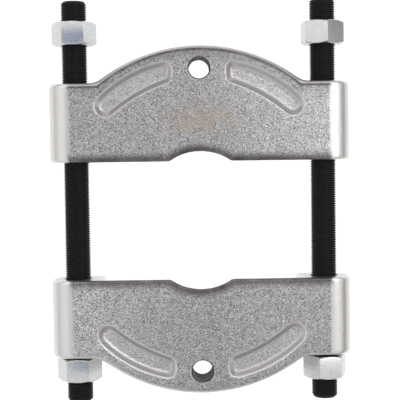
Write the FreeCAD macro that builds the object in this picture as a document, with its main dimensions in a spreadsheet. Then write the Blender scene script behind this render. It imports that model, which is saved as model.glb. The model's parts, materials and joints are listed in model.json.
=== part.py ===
import FreeCAD, Part
import math
import os
import Sketcher

# A bearing separator: two forged half-plates that close behind a bearing, two long threaded
# studs through the plates' ears, and a nut on each end of each stud.
#
# Frame: X runs along the plates, Y along the studs, and Z up from the bench to the flat bearing
# faces. The origin is on the bench, under the middle of the studs. Lengths are in millimetres.

DIMENSIONS = {
    # half-plate seen from above; depths are measured from its mating face
    "plate_width": 185.0,
    "plate_depth": 70.9,
    "ear_depth": 48.6,
    "outer_radius": 99.5,
    "shoulder_radius": 12.0,
    "notch_radius": 32.35,
    "notch_depth": 6.05,
    "notch_corner": 2.2,
    # half-plate seen from its mating side
    "ear_height": 28.0,
    "end_round": 12.0,
    "web_relief": 4.0,
    "web_half_width": 60.0,
    "boss_draft": 2.0,
    "blade_land": 3.2,
    "bevel_run": 31.0,
    # rounded edges
    "mating_round": 1.8,
    "outer_round": 2.6,
    # tapped hole for a puller leg
    "puller_hole_offset": 56.8,
    "puller_bore": 12.8,
    "puller_rim": 14.0,
    # sunk panels in the flat face, one each side of the puller hole
    "panel_outer_x": 6.8,
    "panel_outer_y": 14.65,
    "panel_outer_radius": 77.1,
    "panel_inner_x": 10.4,
    "panel_inner_y": 45.2,
    "panel_inner_radius": 97.5,
    "panel_start_x": 16.3,
    "panel_corner": 4.6,
    "panel_end_radius": 6.85,
    "panel_sink": 3.4,
    "panel_wall_angle": 45.0,
    # studs: 5/8 inch, 18 threads to the inch, 9 3/4 inches long
    "stud_spacing": 153.3,
    "stud_length": 247.65,
    "stud_diameter": 15.875,
    "stud_chamfer": 1.5,
    "stud_hole": 16.8,
    # nuts
    "nut_flats": 24.0,
    "nut_height": 14.5,
    "nut_bore": 15.955,
    "nut_bevel_radius": 11.5,
    "nut_bevel_drop": 1.4,
    "nut_sink": 0.7,
    # places along the studs
    "rear_half_y": 24.8,
    "front_half_y": -47.1,
    "rear_left_nut_y": 103.9,
    "rear_right_nut_y": 103.1,
    "front_left_nut_y": -103.45,
    "front_right_nut_y": -103.9,
    # turns of the nuts from flat side up, in degrees
    "rear_left_nut_turn": 1.5,
    "rear_right_nut_turn": -24.0,
    "front_left_nut_turn": -1.0,
    "front_right_nut_turn": 11.0,
}
START, END, CENTRE = 1, 2, 3
X_AXIS, Y_AXIS = -1, -2
ORIGIN = (X_AXIS, START)
MARGIN = 5.0
STEP_FOLDER = "parts"


def make_sheet(document):
    """Write the driving dimensions, one to a row: its name, then its value."""
    sheet = document.addObject("Spreadsheet::Sheet", "Dimensions")
    for row, (alias, size) in enumerate(DIMENSIONS.items(), start=1):
        sheet.set(f"A{row}", alias)
        sheet.set(f"B{row}", str(size))
        sheet.setAlias(f"B{row}", alias)
    document.recompute()


def from_sheet(expression):
    """Put the sheet's name before each dimension in an expression."""
    words = expression.split()
    return " ".join(f"Dimensions.{word}" if word in DIMENSIONS else word for word in words)


def amount(expression):
    """Work out a dimension, or a sum or difference of dimensions and numbers."""
    total, sign = 0.0, 1.0
    for word in expression.split():
        if word in "+-":
            sign = 1.0 if word == "+" else -1.0
        else:
            total += sign * (DIMENSIONS[word] if word in DIMENSIONS else float(word))
    return total


def new_body(document, name):
    """Start a sub-part: a body labelled with its node's name."""
    body = document.addObject("PartDesign::Body", name)
    body.Label = name
    return body


def origin_feature(body, role):
    """Return the body's own origin plane or axis with this role."""
    return next(item for item in body.Origin.OriginFeatures if item.Role == role)


def new_sketch(body, name, role):
    """Lay a sketch on one of the body's own origin planes."""
    sketch = body.newObject("Sketcher::SketchObject", f"{body.Name}_{name}")
    sketch.AttachmentSupport = [(origin_feature(body, role), "")]
    sketch.MapMode = "FlatFace"
    return sketch


def constrain(sketch, kind, *where):
    """Add a constraint that has no size."""
    sketch.addConstraint(Sketcher.Constraint(kind, *where))


def drive(sketch, name, kind, where, expression):
    """Add a named dimension and bind it to the sheet."""
    bound = from_sheet(expression)
    size = float(sketch.evalExpression(bound))
    index = sketch.addConstraint(Sketcher.Constraint(kind, *where, size))
    sketch.renameConstraint(index, name)
    sketch.setExpression(f"Constraints.{name}", bound)


def vector(x, y):
    return FreeCAD.Vector(x, y, 0)


def leg(hypotenuse, other):
    """The remaining side of a right triangle."""
    return math.sqrt(hypotenuse ** 2 - other ** 2)


def line(start, end):
    return Part.LineSegment(vector(*start), vector(*end))


def arc(centre, radius, first, last):
    """An arc that runs anticlockwise between two angles in degrees."""
    circle = Part.Circle(vector(*centre), FreeCAD.Vector(0, 0, 1), radius)
    return Part.ArcOfCircle(circle, math.radians(first), math.radians(last))


def add_outline(sketch, pieces, joints):
    """Add pieces of outline, then join them end to end.

    A joint is (piece, its point, next piece, its point, kind), with kind Tangent or Coincident.
    """
    sketch.addGeometry(pieces, False)
    for first, first_point, second, second_point, kind in joints:
        constrain(sketch, kind, first, first_point, second, second_point)


def joints_in_turn(count, smooth, backwards=()):
    """Join each piece to the next; smooth holds the pieces whose far ends are tangent joints.

    A piece in backwards is an arc that the outline follows clockwise, from its end to its start.
    """
    joints = []
    for piece in range(count):
        following = (piece + 1) % count
        leave = START if piece in backwards else END
        enter = END if following in backwards else START
        kind = "Tangent" if piece in smooth else "Coincident"
        joints.append((piece, leave, following, enter, kind))
    return joints


def level_and_upright(sketch, level, upright):
    for piece in level:
        constrain(sketch, "Horizontal", piece)
    for piece in upright:
        constrain(sketch, "Vertical", piece)


def add_feature(body, kind, name, sketch, **settings):
    """Make a sketch-based feature of the body and recompute it."""
    feature = body.newObject(f"PartDesign::{kind}", f"{body.Name}_{name}")
    feature.Profile = sketch
    for setting, choice in settings.items():
        setattr(feature, setting, choice)
    sketch.Visibility = False
    body.Document.recompute()
    return feature


def check_cut(body, feature, volume_before):
    """Stop if a cut took nothing away, as one that points away from the solid does."""
    if not feature.Shape.Volume < volume_before - 1.0:
        raise RuntimeError(f"{feature.Name} cuts nothing")
    return feature


def cut(body, kind, name, sketch, **settings):
    """Make a cutting feature and check that it cuts."""
    volume_before = body.Shape.Volume
    feature = add_feature(body, kind, name, sketch, **settings)
    return check_cut(body, feature, volume_before)


def edges_where(shape, test):
    """Name the edges whose two ends and middle all pass a test on (x, y, z)."""
    names = []
    for number, edge in enumerate(shape.Edges, start=1):
        if edge.Length < 1e-4:
            continue
        span = (edge.FirstParameter, edge.LastParameter)
        steps = [span[0] + (span[1] - span[0]) * part for part in (0.02, 0.5, 0.98)]
        if all(test(*edge.valueAt(step)) for step in steps):
            names.append(f"Edge{number}")
    return names


def round_edges(body, name, test, radius):
    """Fillet the edges that pass a test, with a radius from the sheet."""
    base = body.Tip
    names = edges_where(base.Shape, test)
    if not names:
        raise RuntimeError(f"{name} finds no edges")
    fillet = body.newObject("PartDesign::Fillet", f"{body.Name}_{name}")
    fillet.Base = (base, names)
    fillet.Radius = amount(radius)
    fillet.setExpression("Radius", from_sheet(radius))
    body.Document.recompute()
    return fillet


# The half-plate. Its mating face is at y = 0 and it grows towards +Y.


def sketch_end_profile(body):
    """The half-plate's section across Y: rounded ends, a foot under each ear, a raised web."""
    half, top, bend = amount("plate_width") / 2, amount("ear_height"), amount("end_round")
    web, relief = amount("web_half_width"), amount("web_relief")
    foot = amount("web_half_width + boss_draft")
    inner = half - bend
    sketch = new_sketch(body, "end_profile", "XZ_Plane")
    pieces = [
        line((foot, 0), (inner, 0)),
        arc((inner, bend), bend, -90, 0),
        line((half, bend), (half, top - bend)),
        arc((inner, top - bend), bend, 0, 90),
        line((inner, top), (-inner, top)),
        arc((-inner, top - bend), bend, 90, 180),
        line((-half, top - bend), (-half, bend)),
        arc((-inner, bend), bend, 180, 270),
        line((-inner, 0), (-foot, 0)),
        line((-foot, 0), (-web, relief)),
        line((-web, relief), (web, relief)),
        line((web, relief), (foot, 0)),
    ]
    add_outline(sketch, pieces, joints_in_turn(len(pieces), smooth=range(8)))
    level_and_upright(sketch, level=(0, 4, 8, 10), upright=(2, 6))
    for other in (3, 5, 7):
        constrain(sketch, "Equal", 1, other)
    constrain(sketch, "PointOnObject", 0, START, X_AXIS)
    constrain(sketch, "PointOnObject", 8, END, X_AXIS)
    drive(sketch, "bend", "Radius", (1,), "end_round")
    drive(sketch, "right", "DistanceX", (*ORIGIN, 2, START), "plate_width / 2")
    drive(sketch, "left", "DistanceX", (6, START, *ORIGIN), "plate_width / 2")
    drive(sketch, "top", "DistanceY", (*ORIGIN, 4, START), "ear_height")
    drive(sketch, "foot_right", "DistanceX", (*ORIGIN, 0, START), "web_half_width + boss_draft")
    drive(sketch, "foot_left", "DistanceX", (8, END, *ORIGIN), "web_half_width + boss_draft")
    drive(sketch, "web_right", "DistanceX", (*ORIGIN, 11, START), "web_half_width")
    drive(sketch, "web_left", "DistanceX", (10, START, *ORIGIN), "web_half_width")
    drive(sketch, "relief", "DistanceY", (*ORIGIN, 11, START), "web_relief")
    return sketch


def sketch_outer_cut(body):
    """What is cut away beyond the ears, the shoulders and the crown."""
    ear, bend, crown = amount("ear_depth"), amount("shoulder_radius"), amount("outer_radius")
    crown_y = amount("plate_depth - outer_radius")
    rise = ear + bend - crown_y
    shoulder_x = leg(crown + bend, rise)
    lean = math.degrees(math.atan2(rise, shoulder_x))
    wide = amount("plate_width") / 2 + MARGIN
    far = amount("plate_depth") + MARGIN
    sketch = new_sketch(body, "outer_cut", "XY_Plane")
    pieces = [
        line((-wide, ear), (-shoulder_x, ear)),
        arc((-shoulder_x, ear + bend), bend, -90, -lean),
        arc((0, crown_y), crown, lean, 180 - lean),
        arc((shoulder_x, ear + bend), bend, lean - 180, -90),
        line((shoulder_x, ear), (wide, ear)),
        line((wide, ear), (wide, far)),
        line((wide, far), (-wide, far)),
        line((-wide, far), (-wide, ear)),
    ]
    add_outline(sketch, pieces, joints_in_turn(len(pieces), smooth=range(4), backwards=(2,)))
    level_and_upright(sketch, level=(0, 4, 6), upright=(5, 7))
    constrain(sketch, "Equal", 1, 3)
    constrain(sketch, "PointOnObject", 2, CENTRE, Y_AXIS)
    drive(sketch, "crown", "Radius", (2,), "outer_radius")
    drive(sketch, "shoulder", "Radius", (1,), "shoulder_radius")
    drive(sketch, "crown_centre", "DistanceY", (2, CENTRE, *ORIGIN), "outer_radius - plate_depth")
    drive(sketch, "ear_left", "DistanceY", (*ORIGIN, 0, START), "ear_depth")
    drive(sketch, "ear_right", "DistanceY", (*ORIGIN, 4, END), "ear_depth")
    drive(sketch, "wide_left", "DistanceX", (0, START, *ORIGIN), f"plate_width / 2 + {MARGIN}")
    drive(sketch, "wide_right", "DistanceX", (*ORIGIN, 4, END), f"plate_width / 2 + {MARGIN}")
    drive(sketch, "far", "DistanceY", (*ORIGIN, 5, END), f"plate_depth + {MARGIN}")
    return sketch


def sketch_notch(body):
    """A circle that bites the round notch out of the mating edge."""
    back = amount("notch_radius - notch_depth")
    sketch = new_sketch(body, "notch_circle", "XY_Plane")
    circle = Part.Circle(vector(0, -back), FreeCAD.Vector(0, 0, 1), amount("notch_radius"))
    sketch.addGeometry([circle], False)
    constrain(sketch, "PointOnObject", 0, CENTRE, Y_AXIS)
    drive(sketch, "radius", "Radius", (0,), "notch_radius")
    drive(sketch, "back", "DistanceY", (0, CENTRE, *ORIGIN), "notch_radius - notch_depth")
    return sketch


def sketch_bevel(body, name, start):
    """The wedge cut away under the blade, from a thin land down to the web's underside.

    start is the distance of the land from the sketch's own vertical axis.
    """
    near, run = amount(start), amount("bevel_run")
    land, relief = amount("ear_height - blade_land"), amount("web_relief")
    sketch = new_sketch(body, name, "YZ_Plane")
    corners = [(near - 1, land), (near, land), (near + run, relief),
               (near + run, -1), (near - 1, -1)]
    pieces = [line(a, b) for a, b in zip(corners, corners[1:] + corners[:1])]
    add_outline(sketch, pieces, joints_in_turn(len(pieces), smooth=()))
    level_and_upright(sketch, level=(0, 3), upright=(2, 4))
    drive(sketch, "land", "DistanceY", (*ORIGIN, 0, END), "ear_height - blade_land")
    drive(sketch, "run", "DistanceX", (0, END, 1, END), "bevel_run")
    drive(sketch, "relief", "DistanceY", (*ORIGIN, 1, END), "web_relief")
    drive(sketch, "skirt", "DistanceY", (3, START, *ORIGIN), "1")
    drive(sketch, "lip", "DistanceX", (0, START, 0, END), "1")
    if near:
        drive(sketch, "near", "DistanceX", (*ORIGIN, 0, END), start)
    else:
        constrain(sketch, "PointOnObject", 0, END, Y_AXIS)
    return sketch


def sketch_stud_holes(body):
    """Two circles at mid-height, one in each ear."""
    side, middle = amount("stud_spacing") / 2, amount("ear_height") / 2
    radius = amount("stud_hole") / 2
    sketch = new_sketch(body, "stud_holes", "XZ_Plane")
    for index, x in enumerate((-side, side)):
        circle = Part.Circle(vector(x, middle), FreeCAD.Vector(0, 0, 1), radius)
        sketch.addGeometry([circle], False)
        ends = (*ORIGIN, index, CENTRE) if x > 0 else (index, CENTRE, *ORIGIN)
        drive(sketch, f"side_{index}", "DistanceX", ends, "stud_spacing / 2")
        drive(sketch, f"middle_{index}", "DistanceY", (*ORIGIN, index, CENTRE), "ear_height / 2")
        drive(sketch, f"bore_{index}", "Diameter", (index,), "stud_hole")
    return sketch


def sketch_puller_hole(body):
    """The point of the puller hole, on the flat face."""
    offset = amount("puller_hole_offset")
    sketch = new_sketch(body, "puller_point", "XY_Plane")
    sketch.setExpression(".AttachmentOffset.Base.z", from_sheet("ear_height"))
    circle = Part.Circle(vector(0, offset), FreeCAD.Vector(0, 0, 1), amount("puller_bore") / 2)
    sketch.addGeometry([circle], False)
    constrain(sketch, "PointOnObject", 0, CENTRE, Y_AXIS)
    drive(sketch, "offset", "DistanceY", (*ORIGIN, 0, CENTRE), "puller_hole_offset")
    drive(sketch, "bore", "Diameter", (0,), "puller_bore")
    return sketch


def angle_between(origin, target):
    """The direction from one point to another, in degrees."""
    return math.degrees(math.atan2(target[1] - origin[1], target[0] - origin[0]))


def circle_crossing(first, first_radius, second, second_radius):
    """Where two circles cross, to the right of the line from the second centre to the first."""
    gap = math.dist(first, second)
    along = (gap ** 2 + second_radius ** 2 - first_radius ** 2) / (2 * gap)
    aside = leg(second_radius, along)
    ux, uy = (first[0] - second[0]) / gap, (first[1] - second[1]) / gap
    return second[0] + along * ux + aside * uy, second[1] + along * uy - aside * ux


def sketch_panel(body):
    """The sunk panel on the right: two long arcs, a round far end and two small corners."""
    outer = (amount("panel_outer_x"), -amount("panel_outer_y"))
    inner = (-amount("panel_inner_x"), -amount("panel_inner_y"))
    outer_radius, inner_radius = amount("panel_outer_radius"), amount("panel_inner_radius")
    start, corner, tip = amount("panel_start_x"), amount("panel_corner"), amount("panel_end_radius")
    end = circle_crossing(outer, outer_radius - tip, inner, inner_radius + tip)
    corner_x = start + corner
    high = (corner_x, outer[1] + leg(outer_radius - corner, corner_x - outer[0]))
    low = (corner_x, inner[1] + leg(inner_radius + corner, corner_x - inner[0]))
    sketch = new_sketch(body, "panel", "XY_Plane")
    sketch.setExpression(".AttachmentOffset.Base.z", from_sheet("ear_height"))
    pieces = [
        line((start, high[1]), (start, low[1])),
        arc(low, corner, 180, 360 + angle_between(low, inner)),
        arc(inner, inner_radius, angle_between(inner, end), angle_between(inner, low)),
        arc(end, tip, angle_between(end, inner), angle_between(outer, end)),
        arc(outer, outer_radius, angle_between(outer, end), angle_between(outer, high)),
        arc(high, corner, angle_between(outer, high), 180),
    ]
    add_outline(sketch, pieces, joints_in_turn(len(pieces), smooth=range(6), backwards=(2,)))
    constrain(sketch, "Vertical", 0)
    constrain(sketch, "Equal", 1, 5)
    drive(sketch, "start", "DistanceX", (*ORIGIN, 0, START), "panel_start_x")
    drive(sketch, "corner", "Radius", (1,), "panel_corner")
    drive(sketch, "tip", "Radius", (3,), "panel_end_radius")
    drive(sketch, "outer_x", "DistanceX", (*ORIGIN, 4, CENTRE), "panel_outer_x")
    drive(sketch, "outer_y", "DistanceY", (4, CENTRE, *ORIGIN), "panel_outer_y")
    drive(sketch, "outer_radius", "Radius", (4,), "panel_outer_radius")
    drive(sketch, "inner_x", "DistanceX", (2, CENTRE, *ORIGIN), "panel_inner_x")
    drive(sketch, "inner_y", "DistanceY", (2, CENTRE, *ORIGIN), "panel_inner_y")
    drive(sketch, "inner_radius", "Radius", (2,), "panel_inner_radius")
    return sketch


def near(value, target):
    """True where two lengths are the same, near enough."""
    return abs(value - target) < 1e-3


def on_outer_wall(x, y):
    """True where a point in plan lies on the ears' outer line, a shoulder or the crown."""
    ear, bend = amount("ear_depth"), amount("shoulder_radius")
    crown, crown_y = amount("outer_radius"), amount("plate_depth - outer_radius")
    shoulder_y = ear + bend
    shoulder_x = leg(crown + bend, shoulder_y - crown_y)
    on_ear = near(y, ear) and abs(x) > shoulder_x - 0.1
    on_crown = near(math.hypot(x, y - crown_y), crown)
    on_shoulder = near(math.hypot(abs(x) - shoulder_x, y - shoulder_y), bend)
    return on_ear or on_crown or on_shoulder


def make_half(document, name):
    """One half-plate: a forging with two ears, a notched blade and two sunk panels."""
    body = new_body(document, name)
    top, web = amount("ear_height"), amount("web_half_width")
    rounded_end = amount("plate_width") / 2 - amount("end_round")
    notch_radius, notch_back = amount("notch_radius"), amount("notch_radius - notch_depth")
    half_chord = leg(notch_radius, notch_back)
    foot, corner = amount("web_half_width + boss_draft"), amount("notch_corner")

    pad = add_feature(body, "Pad", "blank", sketch_end_profile(body), Reversed=True)
    pad.setExpression("Length", from_sheet("plate_depth"))
    document.recompute()
    cut(body, "Pocket", "outline", sketch_outer_cut(body), Type="ThroughAll", Midplane=True)
    cut(body, "Pocket", "notch", sketch_notch(body), Type="ThroughAll", Midplane=True)

    def notch_corner(x, y, z):
        return near(y, 0) and near(abs(x), half_chord)

    def outer_rim(x, y, z):
        return on_outer_wall(x, y) and (near(z, top) or near(z, 0) or abs(x) > rounded_end)

    def mating_rim(x, y, z):
        on_line = near(y, 0) and (near(z, top) or abs(x) > foot)
        in_notch = near(math.hypot(x, y + notch_back), notch_radius)
        on_corner = y < corner and abs(x) < half_chord + corner
        return on_line or near(z, top) and (in_notch or on_corner)

    round_edges(body, "notch_corners", notch_corner, "notch_corner")
    round_edges(body, "outer_edges", outer_rim, "outer_round")

    bevel = cut(body, "Pocket", "bevel", sketch_bevel(body, "bevel_profile", "0"),
                Midplane=True, Length=2 * web)
    bevel.setExpression("Length", from_sheet("2 * web_half_width"))
    cone_profile = sketch_bevel(body, "cone_profile", "notch_radius")
    cone_profile.setExpression(".AttachmentOffset.Base.x",
                               from_sheet("notch_depth - notch_radius"))
    document.recompute()
    cut(body, "Groove", "cone", cone_profile, ReferenceAxis=(cone_profile, ["V_Axis"]), Angle=360)
    round_edges(body, "mating_edges", mating_rim, "mating_round")

    cut(body, "Pocket", "stud_bores", sketch_stud_holes(body), Type="ThroughAll", Midplane=True)
    hole = cut(body, "Hole", "puller_hole", sketch_puller_hole(body), DepthType="ThroughAll",
               HoleCutType="Countersink", HoleCutCountersinkAngle=90)
    hole.setExpression("Diameter", from_sheet("puller_bore"))
    hole.setExpression("HoleCutDiameter", from_sheet("puller_rim"))
    document.recompute()
    panel = cut(body, "Pocket", "panel_right", sketch_panel(body), TaperAngle=-45,
                Length=amount("panel_sink"))
    panel.setExpression("Length", from_sheet("panel_sink"))
    panel.setExpression("TaperAngle", from_sheet("-1 * panel_wall_angle"))
    document.recompute()
    mirror = body.newObject("PartDesign::Mirrored", f"{name}_panel_left")
    mirror.Originals = [panel]
    mirror.MirrorPlane = (origin_feature(body, "YZ_Plane"), [""])
    body.Tip = mirror
    document.recompute()
    return body


# The studs and nuts. Each one's axis is its own Y axis, with its middle at its origin.


def make_stud(document, name):
    """A plain round bar on the thread's outside diameter, chamfered at both ends."""
    radius, half = amount("stud_diameter") / 2, amount("stud_length") / 2
    chamfer = amount("stud_chamfer")
    body = new_body(document, name)
    sketch = new_sketch(body, "profile", "XY_Plane")
    corners = [(0, -half), (radius - chamfer, -half), (radius, chamfer - half),
               (radius, half - chamfer), (radius - chamfer, half), (0, half)]
    pieces = [line(a, b) for a, b in zip(corners, corners[1:] + corners[:1])]
    add_outline(sketch, pieces, joints_in_turn(len(pieces), smooth=()))
    level_and_upright(sketch, level=(0, 4), upright=(2, 5))
    constrain(sketch, "PointOnObject", 5, START, Y_AXIS)
    drive(sketch, "low_end", "DistanceY", (0, START, *ORIGIN), "stud_length / 2")
    drive(sketch, "high_end", "DistanceY", (*ORIGIN, 4, END), "stud_length / 2")
    drive(sketch, "radius", "DistanceX", (*ORIGIN, 2, START), "stud_diameter / 2")
    for name_of, first, second, kind in (("low_in", (0, END), (1, END), "DistanceX"),
                                         ("low_up", (0, END), (1, END), "DistanceY"),
                                         ("high_in", (3, END), (3, START), "DistanceX"),
                                         ("high_up", (3, START), (3, END), "DistanceY")):
        drive(sketch, name_of, kind, (*first, *second), "stud_chamfer")
    add_feature(body, "Revolution", "bar", sketch, ReferenceAxis=(sketch, ["V_Axis"]), Angle=360)
    return body


def sketch_hexagon(body):
    """A regular hexagon with flats at the top and bottom."""
    corner_radius = amount("nut_flats") / math.sqrt(3)
    sketch = new_sketch(body, "hexagon", "XZ_Plane")
    turns = [math.radians(60 * step) for step in range(6)]
    corners = [(corner_radius * math.cos(turn), corner_radius * math.sin(turn)) for turn in turns]
    pieces = [line(a, b) for a, b in zip(corners, corners[1:] + corners[:1])]
    pieces.append(Part.Circle(vector(0, 0), FreeCAD.Vector(0, 0, 1), corner_radius))
    add_outline(sketch, pieces, joints_in_turn(6, smooth=()))
    sketch.toggleConstruction(6)
    constrain(sketch, "Coincident", 6, CENTRE, *ORIGIN)
    for side in range(6):
        constrain(sketch, "PointOnObject", side, START, 6)
    for side in range(1, 6):
        constrain(sketch, "Equal", 0, side)
    constrain(sketch, "PointOnObject", 0, START, X_AXIS)
    drive(sketch, "flats", "Distance", (*ORIGIN, 1), "nut_flats / 2")
    return sketch


def sketch_turning(body, name, corners, sizes):
    """A triangle cut while the nut turns, at its upper end."""
    sketch = new_sketch(body, name, "XY_Plane")
    pieces = [line(a, b) for a, b in zip(corners, corners[1:] + corners[:1])]
    add_outline(sketch, pieces, joints_in_turn(len(pieces), smooth=()))
    for index, (point, across, along) in enumerate(sizes):
        drive(sketch, f"across_{index}", "DistanceX", (*ORIGIN, point, START), across)
        drive(sketch, f"along_{index}", "DistanceY", (*ORIGIN, point, START), along)
    return sketch


def make_nut(document, name):
    """A hexagon nut, bevelled and countersunk at both ends, with a plain bore."""
    body = new_body(document, name)
    half, bore = amount("nut_height") / 2, amount("nut_bore") / 2
    bevel, drop, sink = amount("nut_bevel_radius"), amount("nut_bevel_drop"), amount("nut_sink")
    outside = amount("nut_flats") / math.sqrt(3)
    pad = add_feature(body, "Pad", "blank", sketch_hexagon(body), Midplane=True, Length=2 * half)
    pad.setExpression("Length", from_sheet("nut_height"))
    bore_sketch = new_sketch(body, "bore_circle", "XZ_Plane")
    bore_sketch.addGeometry([Part.Circle(vector(0, 0), FreeCAD.Vector(0, 0, 1), bore)], False)
    constrain(bore_sketch, "Coincident", 0, CENTRE, *ORIGIN)
    drive(bore_sketch, "bore", "Diameter", (0,), "nut_bore")
    cut(body, "Pocket", "bore", bore_sketch, Type="ThroughAll", Midplane=True)
    corner = "nut_flats / sqrt(3)"
    bevel_sketch = sketch_turning(
        body, "bevel", [(bevel, half), (outside, half - drop), (outside, half)],
        [(0, "nut_bevel_radius", "nut_height / 2"),
         (1, corner, "nut_height / 2 - nut_bevel_drop"), (2, corner, "nut_height / 2")])
    sink_sketch = sketch_turning(
        body, "sink", [(bore, half), (bore, half - sink), (bore + sink, half)],
        [(0, "nut_bore / 2", "nut_height / 2"), (1, "nut_bore / 2", "nut_height / 2 - nut_sink"),
         (2, "nut_bore / 2 + nut_sink", "nut_height / 2")])
    features = [cut(body, "Groove", label, sketch, Angle=360, ReferenceAxis=(sketch, ["V_Axis"]))
                for label, sketch in (("upper_bevel", bevel_sketch), ("upper_sink", sink_sketch))]
    mirror = body.newObject("PartDesign::Mirrored", f"{name}_lower_end")
    mirror.Originals = features
    mirror.MirrorPlane = (origin_feature(body, "XZ_Plane"), [""])
    body.Tip = mirror
    document.recompute()
    return body


def place(body, x="0", y="0", z="0", turn=None, axis=(0, 1, 0), angle=0.0):
    """Put a sub-part where it belongs, with its place bound to the sheet."""
    body.Placement.Rotation = FreeCAD.Rotation(FreeCAD.Vector(*axis), angle)
    if turn:
        body.setExpression("Placement.Rotation.Angle", from_sheet(turn))
    for letter, expression in (("x", x), ("y", y), ("z", z)):
        body.setExpression(f"Placement.Base.{letter}", from_sheet(expression))


def make_model(document):
    """Make all eight sub-parts and put them in place."""
    bodies = []
    for name, turned in (("rear_half", 0.0), ("front_half", 180.0)):
        half = make_half(document, name)
        place(half, y=f"{name}_y", axis=(0, 0, 1), angle=turned)
        bodies.append(half)
    for side, sign in (("left", "-1"), ("right", "1")):
        across = f"{sign} * stud_spacing / 2"
        stud = make_stud(document, f"{side}_stud")
        place(stud, x=across, z="ear_height / 2")
        bodies.append(stud)
        for end in ("rear", "front"):
            name = f"{end}_{side}_nut"
            nut = make_nut(document, name)
            place(nut, x=across, y=f"{name}_y", z="ear_height / 2", turn=f"{name}_turn", angle=1.0)
            bodies.append(nut)
    document.recompute()
    return bodies


def check_document(document, bodies):
    """Stop if any object failed or any sub-part's shape is not one valid solid."""
    for item in document.Objects:
        if "Invalid" in item.State or "Error" in item.State:
            raise RuntimeError(f"{item.Name} failed: {item.getStatusString()}")
        if item.TypeId == "Sketcher::SketchObject" and not item.FullyConstrained:
            raise RuntimeError(f"{item.Name} is not fully constrained")
    for body in bodies:
        shape = body.Shape
        if shape.isNull() or not shape.isValid() or len(shape.Solids) != 1:
            raise RuntimeError(f"{body.Label} is not one valid solid")


def write_parts(bodies):
    """Write each sub-part to a STEP file named after its node."""
    os.makedirs(STEP_FOLDER, exist_ok=True)
    for body in bodies:
        body.Shape.exportStep(f"{STEP_FOLDER}/{body.Label}.step")


document = FreeCAD.newDocument("BearingSeparator")
make_sheet(document)
model = make_model(document)
check_document(document, model)
write_parts(model)
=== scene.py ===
"""Bearing separator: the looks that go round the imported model.

The two half-plates are drop forgings with a blasted, satin skin. The two studs are black oxide with
a rolled thread, and the four nuts are zinc plated. Everything is in metres, in the model's frame.
"""

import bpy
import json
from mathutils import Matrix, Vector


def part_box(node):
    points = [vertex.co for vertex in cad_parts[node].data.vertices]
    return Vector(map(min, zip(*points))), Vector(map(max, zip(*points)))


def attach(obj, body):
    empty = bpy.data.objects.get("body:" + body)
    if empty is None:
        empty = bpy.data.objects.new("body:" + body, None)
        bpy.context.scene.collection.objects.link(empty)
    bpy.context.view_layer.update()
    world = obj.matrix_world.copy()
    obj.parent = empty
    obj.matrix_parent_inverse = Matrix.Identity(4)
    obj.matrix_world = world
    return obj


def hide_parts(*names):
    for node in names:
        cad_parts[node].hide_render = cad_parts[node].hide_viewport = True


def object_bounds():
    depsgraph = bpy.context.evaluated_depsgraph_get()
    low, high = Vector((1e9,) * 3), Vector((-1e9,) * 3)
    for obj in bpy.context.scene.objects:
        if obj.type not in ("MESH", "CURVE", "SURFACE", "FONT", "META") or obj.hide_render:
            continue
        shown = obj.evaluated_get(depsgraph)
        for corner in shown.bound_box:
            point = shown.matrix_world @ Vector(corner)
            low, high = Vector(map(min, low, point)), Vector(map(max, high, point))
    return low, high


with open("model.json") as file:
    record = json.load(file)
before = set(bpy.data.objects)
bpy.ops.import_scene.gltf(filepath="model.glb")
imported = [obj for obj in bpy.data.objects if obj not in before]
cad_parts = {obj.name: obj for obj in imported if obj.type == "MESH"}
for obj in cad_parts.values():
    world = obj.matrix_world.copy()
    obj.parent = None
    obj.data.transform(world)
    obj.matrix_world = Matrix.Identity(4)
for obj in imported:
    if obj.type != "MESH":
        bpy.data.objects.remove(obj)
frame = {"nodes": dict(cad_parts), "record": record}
CAD_BOUNDS = [list(corner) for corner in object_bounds()]

import json
import math

import bmesh
import bpy
import numpy as np
from mathutils import Matrix, Vector

bl_info = {
    "name": "Bearing separator",
    "version": (1, 0, 0),
    "blender": (4, 5, 0),
    "location": "View3D > Sidebar > Separator",
    "description": "Makes the forged half-plates, threaded studs and nuts of a bearing separator",
    "category": "Object",
}

HALVES = ("rear_half", "front_half")
STUDS = ("left_stud", "right_stud")
MM = 0.001
PANEL_EDGE = 1.2 * MM
OUTER_LINES = {"rear_half": 1.0, "front_half": 0.1}
LIT_SPAN = 180 * MM
LINE_SPREAD, OUTER_BAND = 1.6, 0.38
FLAT_NORMAL, FLAT_FADE = 0.86, 0.10
RECESS_FLATNESS = 0.75
WALL_TOP, WALL_FADE = 0.4 * MM, 0.6 * MM
WALL_INSET, WALL_FROM_HOLE, WALL_FROM_ENDS, WALL_DEPTH = 5 * MM, 10 * MM, 2 * MM, 7 * MM
STUD_CHAMFER, NUT_MOUTH, NUT_CREST = 1.5 * MM, 0.62 * MM, 0.86
PLUG_SPARE, DRILL_PAST, DRILL_STEP, HOLLOW_SPARE = 0.4 * MM, 2 * MM, 0.5 * MM, 0.1 * MM
HALF_SMOOTH, STUD_SMOOTH, NUT_SMOOTH = math.radians(50), math.radians(35), math.radians(40)
BLOTCH_PLACE, BLOTCH_REACH = 0.36, (31 * MM, 14.5 * MM, 12 * MM)
BLOTCH_COLOUR, BLOTCH_STRENGTH = (0.36, 0.295, 0.215), 0.62
FLOOR_REACH, FLOOR_GAP = 3.0, 0.02 * MM
LIT_OVAL, LIT_INNER, LIT_OUTER = (1, 0.6, 1), 0.19, 0.38
LAMP_PLACE, LAMP_TARGET, LAMP_SIZE = (0.47, 0.21, 0.80), (0.09, 0.05, 0), (0.56, 0.50)
CAMERA_SHIFT, CAMERA_PLACE = Vector((-0.23, 0.7, 0)) * MM, Vector((-8.95, 31.1, 646.9)) * MM


# ---------------------------------------------------------------- sizes and colours


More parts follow.
